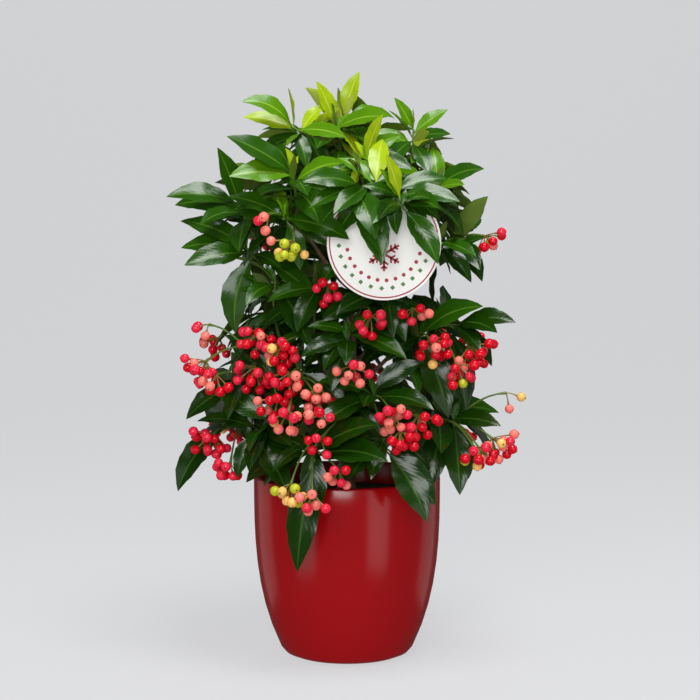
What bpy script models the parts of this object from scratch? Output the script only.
"""A coral ardisia, Ardisia crenata, in a glazed red pot: trunk, boughs and masses of leaves and berries.

The tables and functions work in millimetres, and a mesh gets metres. +Z is up, the front faces -Y,
and the origin is the middle of the pot's flat foot. Directions on the plant are an azimuth, counted
from +X towards +Y, and a lift above the horizontal, both in degrees.
"""

import math
import random
from collections import namedtuple

import bpy
import numpy as np
from mathutils.bvhtree import BVHTree

MM = 0.001
GAP = 0.3

POT_HEIGHT = 144.0
POT_RADIUS = 74.0
POT_WALL = 3.6
POT_FLOOR = 6.0
POT_TUCK = 0.333
POT_CURVE = 3.1
FOOT_RADIUS = 37.0
FOOT_BEND = 7.0
FLOOR_BEND = 6.0
POT_STEPS = 32

SOIL_TOP = 130.0
SOIL_DIP = 2.5
TRUNK_SEAT = 14.0

TRUNK_TOP = 366.0
TRUNK_RADIUS = 5.2
TRUNK_TIP_RADIUS = 2.3
TRUNK_SIDES = 8
ROOT_FLARE = 3.6
ROOT_FLARE_HEIGHT = 8.0
TRUNK_BOW = (3.5, 2.0)

BOUGH_RADIUS = 2.0
BOUGH_TIP_RADIUS = 1.5
BOUGH_SIDES = 5
BOUGH_STATIONS = 4
TWIG_RADIUS = 1.25
TWIG_TIP_RADIUS = 0.9
SHOOT_STATIONS = 4
FORK_LENGTH = 7.0
STALK_RADIUS = 0.75
KNOB_RADIUS = 2.0
PEDICEL_RADIUS = 0.5
BERRY_RADIUS = 4.0
BERRY_SPACING = 8.4
BERRIES_PER_SOLID = 6

LEAF_WIDTH = 0.39
LEAF_THICKNESS = 0.9
MARKED_ROOM = 1.4
WHORL_ROOM = 2.2
LEAF_STATIONS = (0.0, 0.30, 0.68, 1.0)
LEAF_SHARES = (0.92, 0.90)
BLADE_STATIONS = (0.14, 0.36, 0.70, 1.0)
BLADE_SHARES = (0.98, 0.88)
FIRST_LEAF = 1.2
LEAF_PITCH = 2.6
LEAFY_SHARE = 0.8
GOLDEN_ANGLE = 137.5
LEAF_TRIES = 12
SPACE_MARGIN = 62.0
FACE_OUTWARD = 1.1
FRONT = (0.0, -1.0, 0.0)
INWARD_LEFT_OUT = -0.35

TAG_RADIUS = 43.0
TAG_THICKNESS = 0.8
TAG_CENTRE = (28.0, -80.0, 332.0)
TAG_HOLE_RADIUS = 2.8

# How far from the trunk's line the rule's leaves may reach, in pairs of height and radius.
CROWN_REACH = ((125, 92), (150, 125), (200, 132), (245, 118), (283, 84), (305, 98), (350, 128), (400, 98), (440, 45))

# A shoot's hub is its tip, leaves counts its leaves, size is their length, and marked holds the leaves
# that set the outline, each as azimuth, lift, length and droop. An umbel hangs on a stalk that leaves its
# shoot at a share of the way to the hub.
Shoot = namedtuple("Shoot", "hub leaves size marked")
Umbel = namedtuple("Umbel", "shoot share hub berries")
Mass = namedtuple("Mass", "height tip shoots umbels")
Leaf = namedtuple("Leaf", "root azimuth lift length width droop roll")

MASSES = {
    "crown_top": Mass(None, (0, 0, TRUNK_TOP), (
        Shoot((-2, 5, 427), 7, 49, ((0, 72, 38, 20), (227, 75, 30, 20), (25, 6, 44, 75), (14, -33, 49, 40))),
        Shoot((-10, -20, 420), 7, 47, ((200, 67, 38, 20), (333, 12, 46, 40), (256, 59, 32, 25))),
        Shoot((-43, -38, 419), 7, 48, ((196, 26, 44, 75), (240, 75, 32, 15), (300, -62, 34, 30), (178, 14, 44, 30),
                                     (20, 45, 32, 30))),
        Shoot((15, -42, 394), 6, 46, ((327, 66, 38, 20), (225, -20, 40, 40), (340, -10, 40, 50))),
        Shoot((14, 36, 412), 7, 53, ()),
        Shoot((-26, 28, 408), 7, 53, ()),
    ), ()),
    "crown_front_left": Mass(292, (-26, -36, 330), (
        Shoot((-41, -60, 385), 8, 56, ((193, 29, 58, 20), (204, 1, 52, 30), (286, -15, 42, 35), (330, 20, 46, 40))),
        Shoot((-48, -72, 350), 7, 58, ((331, -14, 58, 30), (334, -60, 50, 25), (170, 20, 50, 35))),
    ), (Umbel(1, 0.55, (-40, -86, 334), 11), Umbel(1, 0.75, (-58, -80, 354), 3))),
    "crown_front": Mass(318, (32, -86, 368), (
        Shoot((42, -104, 358), 7, 50, ((319, -50, 52, 30), (305, -1, 45, 45), (237, -20, 42, 40), (221, 67, 36, 15))),
        Shoot((4, -99, 374), 7, 52, ((298, -47, 50, 35), (316, -66, 62, 25), (202, 5, 46, 45), (250, 40, 40, 40))),
    ), ()),
    "crown_left": Mass(208, (-46, -14, 280), (
        Shoot((-85, -10, 360), 8, 60, ((191, 6, 57, 40), (165, 1, 54, 30), (210, 67, 53, 8), (227, -9, 46, 40))),
        Shoot((-78, -30, 326), 8, 60, ((160, 20, 60, 35), (172, 2, 54, 35), (198, -9, 54, 30), (190, -77, 62, 45))),
        Shoot((-66, 18, 338), 6, 60, ()),
    ), ()),
    "crown_right": Mass(284, (36, -6, 338), (
        Shoot((52, -5, 417), 8, 42, ((193, 59, 30, 15), (11, 35, 34, 20), (339, 5, 31, 20), (234, -31, 42, 40),
                                     (299, -42, 36, 30), (185, 18, 34, 50))),
        Shoot((71, -25, 370), 8, 52, ((100, 72, 42, 60), (345, 25, 43, 55), (329, 4, 43, 35), (214, 18, 50, 70),
                                      (249, -19, 36, 30))),
        Shoot((62, 22, 388), 6, 55, ()),
    ), ()),
    "shoulder_right": Mass(254, (52, -18, 296), (
        Shoot((90, -15, 337), 7, 58, ((343, -22, 57, 75), (56, 19, 36, 30), (330, -56, 40, 25), (300, -30, 42, 35))),
        Shoot((71, -50, 332), 6, 52, ((317, -15, 38, 30), (331, -46, 40, 25), (120, -82, 48, 20))),
    ), (Umbel(0, 0.80, (106, -34, 335), 7),)),
    "crown_back_right": Mass(300, (38, 46, 338), (
        Shoot((70, 70, 380), 8, 60, ()),
        Shoot((84, 48, 344), 7, 60, ()),
        Shoot((40, 90, 352), 7, 60, ()),
    ), (Umbel(2, 0.6, (58, 104, 336), 8),)),
    "crown_back": Mass(326, (-6, 40, 366), (
        Shoot((-8, 76, 402), 8, 58, ()),
        Shoot((22, 58, 414), 6, 50, ()),
        Shoot((-34, 66, 384), 7, 58, ()),
    ), ()),
    "crown_back_left": Mass(276, (-42, 38, 322), (
        Shoot((-70, 58, 374), 8, 60, ()),
        Shoot((-86, 52, 338), 7, 60, ()),
        Shoot((-50, 88, 350), 7, 60, ()),
    ), (Umbel(2, 0.6, (-64, 100, 332), 8),)),
    "shoulder_back": Mass(266, (2, 50, 300), (
        Shoot((14, 98, 322), 8, 60, ()),
        Shoot((-18, 90, 308), 7, 60, ((188, -28, 54, 30),)),
    ), ()),
    "mid_left": Mass(186, (-44, -26, 238), (
        Shoot((-55, -47, 301), 5, 50, ((318, -53, 60, 25), (234, -20, 38, 60))),
        Shoot((-85, -40, 219), 5, 50, ((186, -33, 48, 35), (300, -76, 44, 20))),
        Shoot((-80, -50, 250), 3, 42, ()),
    ), (Umbel(2, 0.95, (-106, -52, 268), 3), Umbel(2, 0.90, (-108, -54, 240), 14),
        Umbel(2, 0.50, (-66, -64, 264), 15), Umbel(1, 0.60, (-70, -64, 236), 13))),
    "mid_front_left": Mass(204, (-20, -36, 236), (
        Shoot((-34, -62, 268), 5, 52, ((215, -30, 44, 35),)),
        Shoot((-36, -68, 226), 4, 52, ((320, -50, 50, 30),)),
        Shoot((-20, -50, 302), 6, 54, ((300, -62, 46, 25), (235, -50, 46, 30), (190, -12, 44, 40))),
    ), (Umbel(0, 0.6, (-48, -74, 256), 14), Umbel(1, 0.7, (-42, -84, 234), 13), Umbel(1, 0.9, (-20, -84, 222), 10))),
    "mid_front": Mass(226, (4, -36, 262), (
        Shoot((0, -74, 256), 7, 50, ((198, -16, 38, 45), (288, -27, 46, 50), (233, -63, 44, 25), (340, -20, 50, 40))),
        Shoot((31, -60, 293), 7, 54, ((269, -67, 44, 20), (190, -15, 56, 40), (330, -45, 46, 30))),
    ), (Umbel(0, 0.45, (-14, -66, 300), 7), Umbel(1, 0.5, (18, -80, 277), 8), Umbel(0, 0.9, (4, -90, 240), 8))),
    "mid_right": Mass(214, (38, -20, 246), (
        Shoot((58, -42, 258), 7, 58, ((335, 26, 57, 50), (223, -26, 40, 40), (329, -66, 68, 25), (200, -10, 48, 30))),
        Shoot((88, -30, 266), 8, 56, ((340, 4, 46, 45), (314, -4, 44, 50), (308, -23, 45, 35), (352, -41, 47, 50),
                                      (329, -74, 68, 20))),
    ), (Umbel(0, 0.8, (50, -64, 281), 7), Umbel(0, 0.7, (63, -68, 258), 15), Umbel(1, 0.8, (94, -52, 251), 15))),
    "mid_back_right": Mass(234, (38, 38, 256), (
        Shoot((84, 56, 262), 8, 60, ()),
        Shoot((54, 84, 266), 8, 60, ((200, -50, 50, 30), (270, -70, 48, 20))),
    ), (Umbel(0, 0.7, (98, 72, 244), 12), Umbel(1, 0.7, (70, 96, 246), 12))),
    "mid_back": Mass(218, (-6, 42, 246), (
        Shoot((-10, 88, 258), 8, 60, ()),
        Shoot((18, 86, 232), 7, 60, ()),
    ), (Umbel(0, 0.7, (-4, 106, 240), 12), Umbel(1, 0.6, (22, 100, 214), 9))),
    "mid_back_left": Mass(244, (-40, 32, 262), (
        Shoot((-84, 44, 266), 8, 60, ()),
        Shoot((-58, 78, 258), 8, 60, ()),
    ), (Umbel(0, 0.7, (-104, 52, 248), 12), Umbel(1, 0.7, (-72, 92, 240), 12))),
    "low_left": Mass(166, (-44, -8, 184), (
        Shoot((-98, -20, 182), 7, 56, ((197, -52, 60, 45), (350, 20, 42, 30))),
        Shoot((-88, 14, 198), 6, 58, ()),
    ), (Umbel(0, 0.85, (-103, -42, 182), 14), Umbel(0, 0.7, (-90, -50, 160), 8))),
    "low_front_left": Mass(176, (-28, -34, 190), (
        Shoot((-74, -62, 184), 7, 60, ((316, -47, 58, 30), (175, -60, 46, 30), (344, 21, 44, 40))),
        Shoot((-24, -88, 168), 7, 62, ((208, -80, 86, 12), (331, 1, 64, 45), (329, 25, 64, 35), (150, 10, 50, 40))),
    ), (Umbel(1, 0.75, (-42, -100, 152), 10), Umbel(1, 0.9, (-26, -108, 146), 8), Umbel(1, 0.8, (-6, -100, 162), 6))),
    "low_front": Mass(194, (14, -38, 208), (
        Shoot((30, -86, 174), 7, 60, ((332, -56, 62, 30), (346, -45, 60, 25), (175, -38, 50, 35))),
        Shoot((21, -78, 214), 7, 58, ((333, -7, 50, 45), (217, -20, 56, 30), (348, -35, 56, 35), (190, 15, 44, 40))),
    ), (Umbel(1, 0.7, (32, -92, 208), 15), Umbel(0, 0.6, (54, -88, 202), 11))),
    "low_right": Mass(162, (40, -14, 184), (
        Shoot((84, -35, 190), 8, 62, ((281, -68, 58, 25), (328, -50, 60, 30), (338, -5, 46, 35), (240, -62, 58, 25),
                                      (305, -58, 60, 25))),
        Shoot((92, 8, 194), 7, 60, ()),
    ), (Umbel(0, 0.9, (112, -52, 180), 15), Umbel(0, 0.75, (98, -62, 174), 10), Umbel(0, 0.95, (124, -32, 213), 2))),
    "low_back_right": Mass(172, (34, 34, 190), (
        Shoot((76, 62, 190), 8, 62, ()),
        Shoot((38, 92, 182), 8, 62, ()),
    ), (Umbel(0, 0.8, (92, 78, 174), 12), Umbel(1, 0.8, (46, 108, 168), 10))),
    "low_back_left": Mass(180, (-34, 36, 196), (
        Shoot((-78, 60, 190), 8, 62, ()),
        Shoot((-28, 94, 184), 8, 62, ()),
    ), (Umbel(0, 0.8, (-94, 76, 174), 12), Umbel(1, 0.8, (-30, 110, 168), 10))),
}

COLOURS = {
    "pot": ((0.45, 0.008, 0.012), 0.12),
    "soil": ((0.022, 0.014, 0.009), 0.95),
    "bark": ((0.115, 0.085, 0.045), 0.70),
    "foliage": ((0.035, 0.130, 0.016), 0.35),
    "card": ((0.85, 0.83, 0.80), 0.45),
}


def direction(azimuth, lift):
    """The unit vector at an azimuth and a lift, in degrees."""
    a, e = math.radians(azimuth), math.radians(lift)
    return np.array((math.cos(a) * math.cos(e), math.sin(a) * math.cos(e), math.sin(e)))


def curve(start, middle, end, shares):
    """Points of the quadratic curve from start to end that leans towards middle."""
    t = np.asarray(shares, float)[:, None]
    start, middle, end = (np.asarray(p, float) for p in (start, middle, end))
    return (1 - t) ** 2 * start + 2 * t * (1 - t) * middle + t * t * end


def rings_solid(rings):
    """Closed solid through rings of equal point counts: quads along the sides and a flat cap at each end."""
    count, sides = rings.shape[:2]
    points = rings.reshape(-1, 3)
    faces = [tuple(range(sides))[::-1], tuple(range((count - 1) * sides, count * sides))]
    for i in range(count - 1):
        for j in range(sides):
            k = (j + 1) % sides
            faces.append((i * sides + j, i * sides + k, (i + 1) * sides + k, (i + 1) * sides + j))
    return points, faces


def tube(path, radii, sides):
    """Closed tapering tube: a ring of corners square to the path at each of its points."""
    path = np.asarray(path, float)
    tangents = np.gradient(path, axis=0)
    tangents /= np.linalg.norm(tangents, axis=1)[:, None]
    helper = np.array((0.31, 0.95, 0.05)) if abs(tangents[0, 2]) > 0.5 else np.array((0.0, 0.0, 1.0))
    across = np.cross(tangents, helper)
    across /= np.linalg.norm(across, axis=1)[:, None]
    over = np.cross(tangents, across)
    turn = np.arange(sides) * 2 * math.pi / sides
    spokes = across[:, None] * np.cos(turn)[None, :, None] + over[:, None] * np.sin(turn)[None, :, None]
    return rings_solid(path[:, None] + spokes * np.asarray(radii, float)[:, None, None])


def leaf_line(leaf, shares):
    """Centre points, tangents, sides and upper faces of a leaf: an arc that droops in its upright plane.

    The arc's heading turns evenly by the droop from root to tip, and its chord has the leaf's lift.
    """
    t = np.asarray(shares, float)[:, None]
    droop = math.radians(leaf.droop)
    first = math.radians(leaf.lift) + droop / 2
    angle = first - droop * t
    size = leaf.length / (2 * math.sin(droop / 2))
    out = direction(leaf.azimuth, 0)
    up = np.array((0.0, 0.0, 1.0))
    centre = leaf.root + size * ((math.sin(first) - np.sin(angle)) * out + (np.cos(angle) - math.cos(first)) * up)
    tangent = np.cos(angle) * out + np.sin(angle) * up
    side = np.repeat(np.cross(out, up)[None], len(t), axis=0)
    face = np.cos(angle) * up - np.sin(angle) * out
    roll = math.radians(leaf.roll)
    return centre, tangent, math.cos(roll) * side + math.sin(roll) * face, math.cos(roll) * face - math.sin(roll) * side


def leaf_solid(leaf, stations=LEAF_STATIONS, shares=LEAF_SHARES, thickness=LEAF_THICKNESS, widen=0.0):
    """Closed blade: three-cornered sections, two margins and a keel, between a point at root and tip."""
    centre, _, side, face = leaf_line(leaf, stations)
    root, tip = centre[0], centre[-1]
    half = np.asarray(shares)[:, None] * leaf.width / 2 + widen
    rise = 0.12 * half
    centre, side, face = centre[1:-1], side[1:-1], face[1:-1]
    left = centre - side * half + face * rise
    right = centre + side * half + face * rise
    keel = centre - face * (thickness - rise)
    points, faces = rings_solid(np.stack((left, right, keel), axis=1))
    last = len(points) - 3
    faces = faces[2:]
    faces += [((j + 1) % 3, j, len(points)) for j in range(3)]
    faces += [(last + j, last + (j + 1) % 3, len(points) + 1) for j in range(3)]
    return np.vstack((points, root, tip)), faces


def berry_solid(centre, radius):
    """Twenty-sided ball round a centre."""
    golden = (1 + math.sqrt(5)) / 2
    corners = [(0, a, b * golden) for a in (-1, 1) for b in (-1, 1)]
    corners = np.array([c[i:] + c[:i] for c in corners for i in range(3)], float)
    corners *= radius / math.hypot(1, golden)
    edge = 2 * radius / math.hypot(1, golden)
    near = np.linalg.norm(corners[:, None] - corners[None], axis=2) < edge * 1.1
    faces = []
    for i in range(12):
        for j in range(i + 1, 12):
            for k in range(j + 1, 12):
                if near[i, j] and near[j, k] and near[i, k]:
                    turned = np.dot(np.cross(corners[j] - corners[i], corners[k] - corners[i]), corners[i]) < 0
                    faces.append((i, k, j) if turned else (i, j, k))
    return corners + np.asarray(centre, float), faces


class Room:
    """What is already placed, under a label each, to test whether something new would touch it."""

    def __init__(self):
        self.lows, self.highs, self.trees, self.labels = [], [], [], []

    def add(self, solid, label):
        points, faces = solid
        self.lows.append(points.min(axis=0))
        self.highs.append(points.max(axis=0))
        self.trees.append(BVHTree.FromPolygons(points.tolist(), faces))
        self.labels.append(label)

    def clear(self, solid, skips=()):
        points, faces = solid
        low, high = points.min(axis=0), points.max(axis=0)
        near = np.flatnonzero(((np.array(self.lows) < high) & (np.array(self.highs) > low)).all(axis=1))
        tree = BVHTree.FromPolygons(points.tolist(), faces)
        return not any(self.trees[i].overlap(tree) for i in near if self.labels[i] not in skips)

    def takes(self, name, leaf, thickness):
        """Whether a leaf of a mass is clear: its blade of everything, and its stalk of every other mass."""
        blade = leaf_solid(leaf, BLADE_STATIONS, BLADE_SHARES, thickness, GAP)
        whole = leaf_solid(leaf, LEAF_STATIONS, LEAF_SHARES, thickness, GAP)
        if not self.clear(blade, (name + " stalks",)) or not self.clear(whole, (name, name + " stalks")):
            return False
        self.add(blade, name)
        self.add(whole, name + " stalks")
        return True


def pot_radius(z):
    """Outer radius of the pot above its foot bend: nearly upright at the rim and tucking in downwards."""
    return POT_RADIUS * (1 - POT_TUCK * (1 - z / POT_HEIGHT) ** POT_CURVE)


def pot_profile():
    """Half outline from the middle of the inner floor, over the rim and down to the middle of the foot."""
    lip = POT_WALL / 2
    heights = np.linspace(POT_HEIGHT - lip, POT_FLOOR + 8, 6)
    inner = [(pot_radius(z) - POT_WALL, z) for z in heights[::-1]]
    bend_radius = pot_radius(FOOT_BEND)
    slope = (pot_radius(FOOT_BEND + 1) - bend_radius)
    foot = curve((bend_radius, 0, FOOT_BEND), (bend_radius - slope * FOOT_BEND, 0, 0), (FOOT_RADIUS, 0, 0),
                 (0.0, 0.35, 0.7, 1.0))
    turn = np.radians((135, 90, 45))
    rim = [(pot_radius(POT_HEIGHT - lip) - lip + lip * math.cos(a), POT_HEIGHT - lip + lip * math.sin(a)) for a in turn]
    outer = [(pot_radius(z), z) for z in np.linspace(POT_HEIGHT - lip, FOOT_BEND, 9)[:-1]]
    floor = [(0.0, POT_FLOOR), (FOOT_RADIUS - FLOOR_BEND, POT_FLOOR)]
    return floor + inner + rim + outer + [(p[0], p[2]) for p in foot] + [(0.0, 0.0)]


def soil_profile():
    """Half outline of the soil: a low rise in the middle, the pot's inside less the gap, and a flat bottom."""
    edge = SOIL_TOP - SOIL_DIP
    heights = np.linspace(edge, POT_FLOOR + 8, 5)
    side = [(pot_radius(z) - POT_WALL - GAP, z) for z in heights]
    low = (FOOT_RADIUS - FLOOR_BEND - 0.5, POT_FLOOR + GAP)
    return [(0.0, SOIL_TOP), (TRUNK_SEAT, SOIL_TOP), (45.0, SOIL_TOP - 1)] + side + [low, (0.0, POT_FLOOR + GAP)]


def trunk_line(heights):
    """Centre of the trunk at each height: a slow bow between soil and tip."""
    z = np.asarray(heights, float)
    share = (z - SOIL_TOP) / (TRUNK_TOP - SOIL_TOP)
    bow = np.sin(math.pi * share)
    sway = np.sin(2 * math.pi * share)
    return np.stack((TRUNK_BOW[0] * bow, TRUNK_BOW[1] * sway, z), axis=-1)


def trunk_radius(heights):
    """Trunk radius at each height: an even taper, with the root flare fading upwards."""
    z = np.asarray(heights, float)
    share = (z - SOIL_TOP) / (TRUNK_TOP - SOIL_TOP)
    flare = ROOT_FLARE * np.exp(-(z - SOIL_TOP) / ROOT_FLARE_HEIGHT)
    return TRUNK_RADIUS + (TRUNK_TIP_RADIUS - TRUNK_RADIUS) * share + flare


def trunk_solid(extra=0.0):
    """The trunk from its flat cut on the soil to its tip, or the same shape grown by extra."""
    foot = SOIL_TOP + GAP
    rise = np.array((0.0, 5.0, 11.0, 20.0))
    heights = np.concatenate((foot + rise, np.linspace(foot + 45, TRUNK_TOP, 9)))
    turn = np.arange(TRUNK_SIDES) * 2 * math.pi / TRUNK_SIDES
    lobes = 1 + 0.14 * np.exp(-(heights - foot) / ROOT_FLARE_HEIGHT)[:, None] * np.sin(3 * turn)[None]
    radii = trunk_radius(heights)[:, None] * lobes + extra
    spokes = np.stack((np.cos(turn), np.sin(turn), np.zeros(TRUNK_SIDES)), axis=1)
    return rings_solid(trunk_line(heights)[:, None] + spokes[None] * radii[:, :, None])


def bough_line(mass, shares):
    """A bough's centre line: out of the trunk's middle, sagging a little and rising to its tip."""
    start = trunk_line(mass.height)
    end = np.array(mass.tip, float)
    middle = (start + end) / 2 - np.array((0, 0, 0.12 * np.linalg.norm(end - start)))
    return curve(start, middle, end, shares)


def bough_end(mass):
    """The direction in which a bough, or the trunk, enters its mass."""
    if mass.height is None:
        line = trunk_line((TRUNK_TOP - 10, TRUNK_TOP))
    else:
        line = bough_line(mass, (0.95, 1.0))
    return (line[1] - line[0]) / np.linalg.norm(line[1] - line[0])


def bough_solid(mass):
    """A bough as a tapering tube from the trunk's middle to its tip."""
    shares = np.linspace(0, 1, BOUGH_STATIONS)
    radii = BOUGH_RADIUS + (BOUGH_TIP_RADIUS - BOUGH_RADIUS) * shares
    return tube(bough_line(mass, shares), radii, BOUGH_SIDES)


def fork_of(mass):
    """Where a mass's stem starts, 0.3 mm past its bough, and where it forks."""
    along = bough_end(mass)
    start = np.array(mass.tip, float) + GAP * along
    return start, start + FORK_LENGTH * along


def shoot_path(mass, shoot):
    """A shoot's centre line as a few straight stretches: on from the stem's direction, then towards its hub."""
    fork = fork_of(mass)[1]
    hub = np.array(shoot.hub, float)
    middle = fork + 0.35 * np.linalg.norm(hub - fork) * bough_end(mass) + 0.2 * (hub - fork)
    return curve(fork, middle, hub, np.linspace(0, 1, SHOOT_STATIONS))


def path_point(path, distance):
    """The point of a path of straight stretches at a distance from its start."""
    steps = np.concatenate(((0,), np.cumsum(np.linalg.norm(np.diff(path, axis=0), axis=1))))
    return np.array([np.interp(distance, steps, path[:, axis]) for axis in range(3)])


def path_length(path):
    """Length of a path of straight stretches."""
    return np.linalg.norm(np.diff(path, axis=0), axis=1).sum()


def umbel_line(mass, umbel, shares):
    """The stalk of an umbel: it leaves its shoot upwards and outwards, then bends down to its hub."""
    shoot = shoot_path(mass, mass.shoots[umbel.shoot])
    start = path_point(shoot, umbel.share * path_length(shoot))
    hub = np.array(umbel.hub, float)
    middle = (start + hub) / 2 + np.array((0, 0, 0.22 * np.linalg.norm(hub - start)))
    return curve(start, middle, hub, shares)


def twig_solids(mass):
    """The stem, shoots and umbel stalks of a mass, each a closed three-sided or five-sided tube."""
    start, fork = fork_of(mass)
    along = bough_end(mass)
    tip_radius = TRUNK_TIP_RADIUS if mass.height is None else BOUGH_TIP_RADIUS
    solids = [tube((start, fork, fork + 2 * along), (tip_radius, TWIG_RADIUS + 0.3, TWIG_RADIUS), BOUGH_SIDES)]
    for shoot in mass.shoots:
        radii = np.linspace(TWIG_RADIUS, TWIG_TIP_RADIUS, SHOOT_STATIONS)
        solids.append(tube(shoot_path(mass, shoot), radii, 3))
    for umbel in mass.umbels:
        path = umbel_line(mass, umbel, (0.0, 0.5, 0.93, 1.0))
        path = np.vstack((path, 2 * path[-1] - path[-2]))
        solids.append(tube(path, (STALK_RADIUS, STALK_RADIUS, STALK_RADIUS, KNOB_RADIUS, STALK_RADIUS), 3))
    return solids


def pedicel_solid(hub, centre, start=0.0):
    """The fine stalk of one berry, from its hub into the berry."""
    inner = 1 - 0.6 * BERRY_RADIUS / np.linalg.norm(centre - hub)
    return tube((hub + start * (centre - hub), hub + inner * (centre - hub)), (PEDICEL_RADIUS,) * 2, 3)


def umbel_berries(name, umbel, rng, room):
    """Places of an umbel's berries: on stalks of 9 to 19 mm that spread below the hub, clear of the rest."""
    hub = np.array(umbel.hub, float)
    outward = math.degrees(math.atan2(hub[1], hub[0]))
    axis = direction(outward, -58)
    centres = []
    for attempt in range(umbel.berries * 9):
        if len(centres) == umbel.berries:
            break
        heading = direction(rng.uniform(0, 360), rng.uniform(-90, 90)) * 0.95 + axis
        length = rng.uniform(9, 12 + umbel.berries * 0.5)
        centre = hub + heading / np.linalg.norm(heading) * length
        if any(np.linalg.norm(centre - other) < BERRY_SPACING for other in centres):
            continue
        ball = berry_solid(centre, BERRY_RADIUS + GAP)
        if (room.clear(ball) and room.clear(pedicel_solid(hub, centre, 0.3))
                and room.clear(pedicel_solid(hub, centre), (name,))):
            centres.append(centre)
    for centre in centres:
        room.add(berry_solid(centre, BERRY_RADIUS), name)
        room.add(pedicel_solid(hub, centre), name)
    return centres


def inside_space(mass, points):
    """Whether points keep to the mass's own space: an ellipsoid round its hubs, within the crown's reach."""
    hubs = np.array([shoot.hub for shoot in mass.shoots], float)
    centre = (hubs.max(axis=0) + hubs.min(axis=0)) / 2
    radii = (hubs.max(axis=0) - hubs.min(axis=0)) / 2 + SPACE_MARGIN
    heights, reaches = np.array(CROWN_REACH, float).T
    within = (((points - centre) / radii) ** 2).sum(axis=1) < 1
    reach = np.hypot(points[:, 0], points[:, 1]) < np.interp(points[:, 2], heights, reaches)
    return bool(within.all() and reach.all())


def facing_roll(azimuth, lift, outward):
    """The roll that turns a leaf's upper face halfway between straight up and an outward direction."""
    wanted = np.array((0.0, 0.0, 1.0)) + FACE_OUTWARD * np.asarray(outward)
    out = direction(azimuth, 0)
    side = np.cross(out, (0.0, 0.0, 1.0))
    face = direction(azimuth, lift + 90)
    roll = -math.degrees(math.atan2(wanted @ side, wanted @ face))
    return max(-75.0, min(75.0, roll))


def leaf_root(mass, shoot, rank):
    """Where a shoot's leaf of this rank leaves it, counted down from the hub."""
    path = shoot_path(mass, shoot)
    length = path_length(path)
    return path_point(path, length - FIRST_LEAF - rank * min(LEAF_PITCH, LEAFY_SHARE * length / shoot.leaves))


def marked_leaves(name, shoot, rng, room):
    """The leaves that set the outline: tried as given, then a little shorter or turned."""
    found = []
    for rank, (azimuth, lift, length, droop) in enumerate(shoot.marked):
        root = leaf_root(MASSES[name], shoot, rank)
        for attempt in range(LEAF_TRIES):
            turn, dip = rng.uniform(-3, 3) * attempt, rng.uniform(-2, 2) * attempt
            size = length * (1 - 0.02 * attempt)
            roll = facing_roll(azimuth + turn, lift + dip, FRONT) + rng.uniform(-10, 10)
            leaf = Leaf(root, azimuth + turn, lift + dip, size, size * LEAF_WIDTH, droop, roll)
            if room.takes(name, leaf, MARKED_ROOM):
                found.append(leaf)
                break
    return found


def whorl_leaves(name, shoot, taken, rng, room):
    """The other leaves of a shoot by the rule: each a golden angle on from the last and lower than it."""
    found = []
    mass = MASSES[name]
    first = rng.uniform(0, 360)
    for rank in range(taken, shoot.leaves):
        share = rank / max(1, shoot.leaves - 1)
        lift = 62 - 104 * share**0.85
        for attempt in range(LEAF_TRIES):
            azimuth = first + GOLDEN_ANGLE * rank + rng.uniform(-12, 12) * attempt
            size = shoot.size * rng.uniform(0.92, 1.12) * (0.78 + 0.22 * min(1, rank / 3)) * (1 - 0.04 * attempt)
            tilt = lift + rng.uniform(-6, 6) * (1 + attempt)
            root = leaf_root(mass, shoot, rank)
            middle = (root + 0.5 * size * direction(azimuth, tilt)) * (1, 1, 0)
            roll = facing_roll(azimuth, tilt, middle / np.linalg.norm(middle)) + rng.uniform(-18, 18)
            leaf = Leaf(root, azimuth, tilt, size, size * LEAF_WIDTH, rng.uniform(24, 52), roll)
            if inside_space(mass, leaf_solid(leaf)[0]) and room.takes(name, leaf, WHORL_ROOM):
                found.append(leaf)
                break
    return found


def outward(leaf):
    """Whether a leaf shapes the crown: its tip isn't much nearer the trunk's line than its root."""
    tip = direction(leaf.azimuth, leaf.lift)
    away = np.array((leaf.root[0], leaf.root[1], 0.0))
    return tip @ away / np.linalg.norm(away) > INWARD_LEFT_OUT


def grow(limbs):
    """Places of every mass's leaves and berries. Limbs and twigs come first, then berries, then leaves."""
    room = Room()
    for solid in limbs:
        room.add(solid, "limb")
    for name, mass in MASSES.items():
        for solid in twig_solids(mass):
            room.add(solid, name)
    seeds = {name: random.Random(name) for name in MASSES}
    berries = {name: [umbel_berries(name, umbel, seeds[name], room) for umbel in mass.umbels]
               for name, mass in MASSES.items()}
    leaves = {name: [] for name in MASSES}
    counts = {}
    for name, mass in MASSES.items():
        for shoot in mass.shoots:
            found = marked_leaves(name, shoot, seeds[name], room)
            counts[shoot] = len(found)
            leaves[name] += found
    for name, mass in MASSES.items():
        for shoot in mass.shoots:
            leaves[name] += whorl_leaves(name, shoot, counts[shoot], seeds[name], room)
    return leaves, berries


def material(name):
    """Plain surface in the piece's own colour."""
    (red, green, blue), roughness = COLOURS[name]
    made = bpy.data.materials.new(name)
    made.use_nodes = True
    shader = made.node_tree.nodes["Principled BSDF"]
    shader.inputs["Base Color"].default_value = (red, green, blue, 1.0)
    shader.inputs["Roughness"].default_value = roughness
    shader.inputs["Metallic"].default_value = 0.0
    return made


def mesh_object(name, points, faces, finish, home=None):
    """A named object in metres from points in millimetres."""
    mesh = bpy.data.meshes.new(name)
    mesh.from_pydata((np.asarray(points) * MM).tolist(), [], faces)
    mesh.update()
    mesh.materials.append(finish)
    made = bpy.data.objects.new(name, mesh)
    (home or bpy.context.scene.collection).objects.link(made)
    return made


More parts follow.
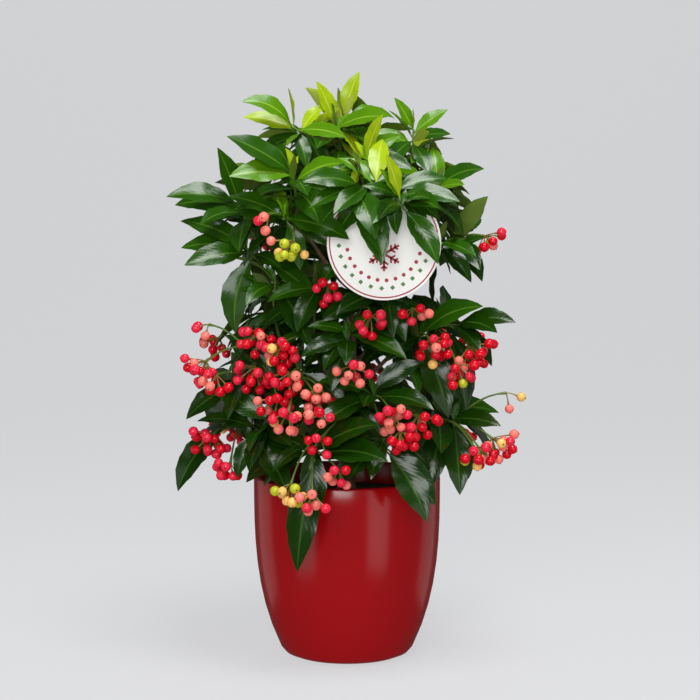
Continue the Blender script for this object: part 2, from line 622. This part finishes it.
def turned_object(name, profile, finish):
    """A turned piece: its half outline in the XZ plane and a Screw round Z."""
    points = [(radius, 0.0, z) for radius, z in profile]
    mesh = bpy.data.meshes.new(name)
    mesh.from_pydata((np.array(points) * MM).tolist(), [(i, i + 1) for i in range(len(points) - 1)], [])
    mesh.materials.append(finish)
    made = bpy.data.objects.new(name, mesh)
    bpy.context.scene.collection.objects.link(made)
    screw = made.modifiers.new("turn", "SCREW")
    screw.steps = screw.render_steps = POT_STEPS
    screw.use_merge_vertices = True
    screw.merge_threshold = 0.00005
    screw.use_smooth_shade = True
    return made


def apply_modifiers(made):
    """Bakes an object's modifiers into its mesh."""
    graph = bpy.context.evaluated_depsgraph_get()
    baked = bpy.data.meshes.new_from_object(made.evaluated_get(graph))
    baked.name = made.name
    made.modifiers.clear()
    made.data = baked


def cutter(name, points, faces, finish):
    """A helper shape that only cuts."""
    made = mesh_object(name, points, faces, finish)
    made.hide_render = True
    made.display_type = "WIRE"
    return made


def tag_hole_centre():
    """Where the bough that carries the tag passes through the tag's middle plane."""
    path = bough_line(MASSES["crown_front"], np.linspace(0, 1, BOUGH_STATIONS))
    y = TAG_CENTRE[1]
    x, z = (np.interp(-y, -path[:, 1], path[:, axis]) for axis in (0, 2))
    return np.array((x, y, z))


def tag_solid(centre, radius, depth, sides):
    """A disc facing the front, as deep as depth, round a centre."""
    turn = np.arange(sides) * 2 * math.pi / sides
    ring = np.stack((np.cos(turn), np.zeros(sides), np.sin(turn)), axis=1) * radius + centre
    back = np.array((0, depth / 2, 0))
    return rings_solid(np.stack((ring + back, ring - back)))


def fuse(name, solids, finish):
    """One closed body from a mass's stem and everything on it, by a single union on a collection."""
    body = mesh_object(name, *solids[0], finish)
    helpers = bpy.data.collections.new(name + "_parts")
    bpy.context.scene.collection.children.link(helpers)
    for index, (points, faces) in enumerate(solids[1:]):
        mesh_object(f"{name}_{index}", points, faces, finish, helpers)
    union = body.modifiers.new("fuse", "BOOLEAN")
    union.operation = "UNION"
    union.operand_type = "COLLECTION"
    union.collection = helpers
    union.solver = "EXACT"
    union.use_self = False
    apply_modifiers(body)
    for helper in list(helpers.objects):
        bpy.data.objects.remove(helper, do_unlink=True)
    bpy.data.collections.remove(helpers)
    return body


def build():
    for old in list(bpy.data.objects):
        bpy.data.objects.remove(old, do_unlink=True)
    finishes = {name: material(name) for name in COLOURS}

    turned_object("pot", pot_profile(), finishes["pot"])
    turned_object("soil", soil_profile(), finishes["soil"])
    mesh_object("trunk", *trunk_solid(), finishes["bark"])

    trunk_room = cutter("trunk_room", *trunk_solid(GAP), finishes["bark"])
    limbs = [trunk_solid(), tag_solid(np.array(TAG_CENTRE), TAG_RADIUS, TAG_THICKNESS, 32)]
    pot_rim = tube(((0, 0, 0), (0, 0, POT_HEIGHT)), (POT_RADIUS, POT_RADIUS + 0.5), 24)
    limbs.append(pot_rim)
    for name, mass in MASSES.items():
        if mass.height is None:
            continue
        limbs.append(bough_solid(mass))
        bough = mesh_object("bough_" + name, *bough_solid(mass), finishes["bark"])
        cut = bough.modifiers.new("seat", "BOOLEAN")
        cut.operation = "DIFFERENCE"
        cut.object = trunk_room
        cut.solver = "EXACT"

    tag = mesh_object("tag", *tag_solid(np.array(TAG_CENTRE), TAG_RADIUS, TAG_THICKNESS, 64), finishes["card"])
    hole = cutter("tag_hole", *tag_solid(tag_hole_centre(), TAG_HOLE_RADIUS, 8, 16), finishes["card"])
    cut = tag.modifiers.new("hole", "BOOLEAN")
    cut.operation = "DIFFERENCE"
    cut.object = hole
    cut.solver = "EXACT"

    leaves, berries = grow(limbs)
    for name, mass in MASSES.items():
        solids = twig_solids(mass)
        for umbel, centres in zip(mass.umbels, berries[name]):
            for centre in centres[::BERRIES_PER_SOLID]:
                solids.append(pedicel_solid(np.array(umbel.hub, float), centre))
                solids.append(berry_solid(centre, BERRY_RADIUS))
        solids += [leaf_solid(leaf) for leaf in leaves[name] if outward(leaf)]
        fuse(name, solids, finishes["foliage"])


build()
